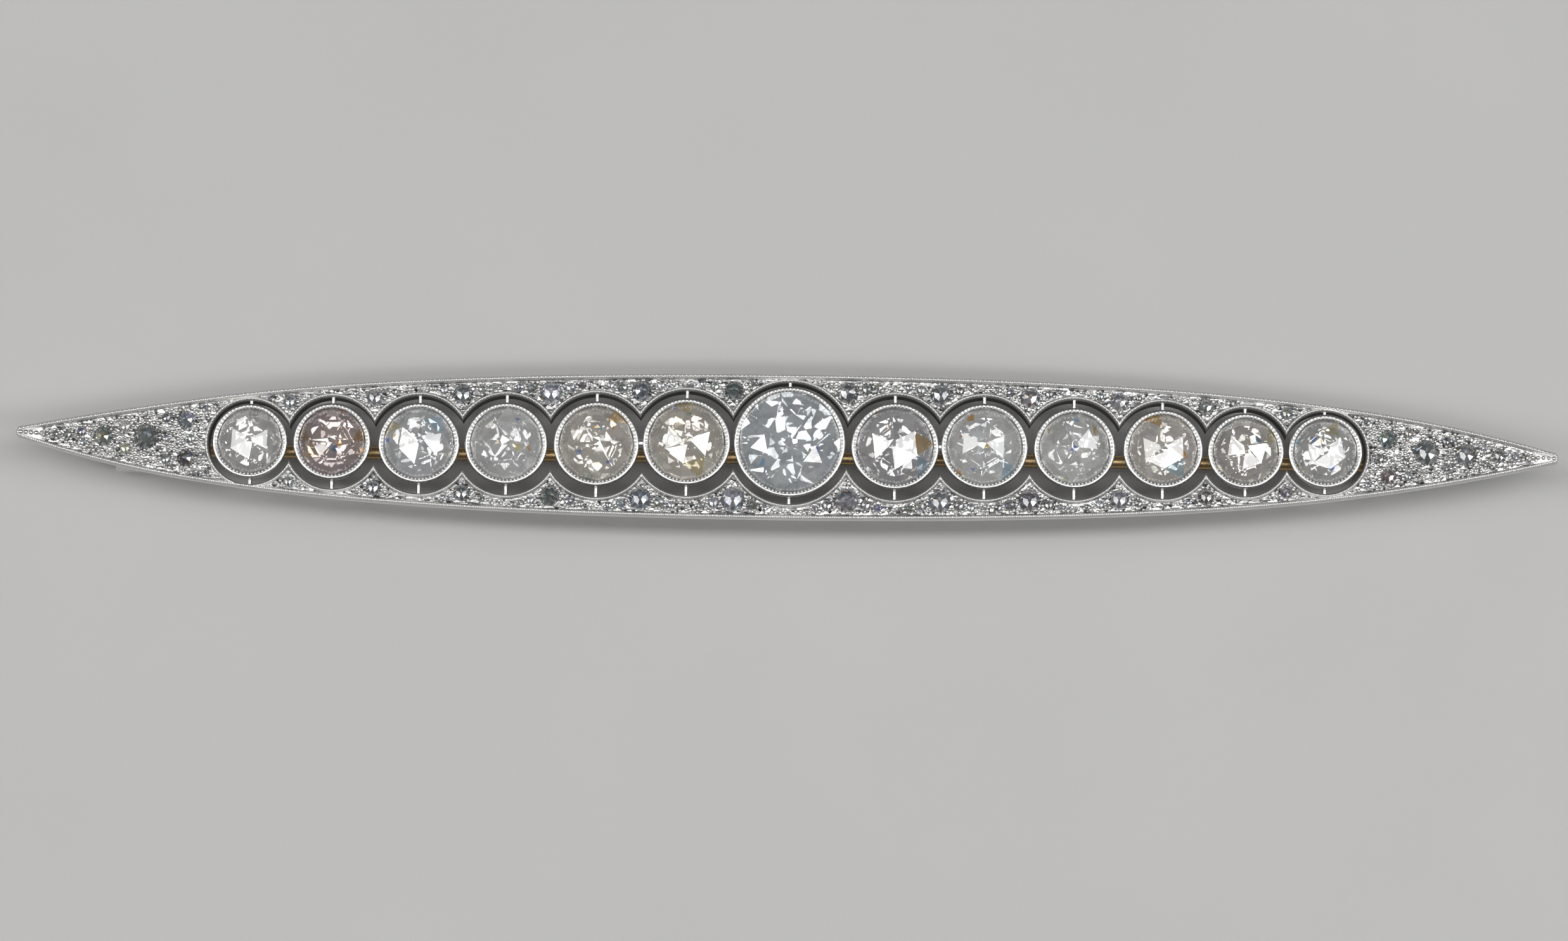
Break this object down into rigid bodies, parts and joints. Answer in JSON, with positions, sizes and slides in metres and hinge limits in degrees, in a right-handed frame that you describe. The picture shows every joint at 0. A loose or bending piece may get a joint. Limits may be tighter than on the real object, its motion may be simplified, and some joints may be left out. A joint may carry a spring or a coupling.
{
  "type": "diamond bar brooch",
  "caption": "Long pointed bar brooch: pierced platinum plate with a row of round diamond collets, small diamonds in its spandrels and ends, and a gold pin behind.",
  "frame": {"origin": "middle of the length and width, on the plane that the hinge's and catch's feet stand on", "axes": "+X along the bar towards the hinge, +Y across the bar, +Z out of the front of the stones"},
  "size_m": [0.085, 0.0082, 0.0057],
  "materials": {
    "platinum": "bright white metal, millegrained",
    "gold": "polished, a little worn",
    "diamond": "cut and polished, faint brown and grey tints",
    "centre_diamond": "cut and polished, cool white",
    "small_diamond": "cut and polished, cool grey"
  },
  "bodies": {
    "root": {"mount": "platinum", "pin_stem": "gold", "upper_small_stones": "small_diamond", "lower_small_stones": "small_diamond", "stone_01": "diamond", "stone_02": "diamond", "stone_03": "diamond", "stone_04": "diamond", "stone_05": "diamond", "stone_06": "diamond", "stone_07": "centre_diamond", "stone_08": "diamond", "stone_09": "diamond", "stone_10": "diamond", "stone_11": "diamond", "stone_12": "diamond", "stone_13": "diamond"}
  },
  "joints": []
}
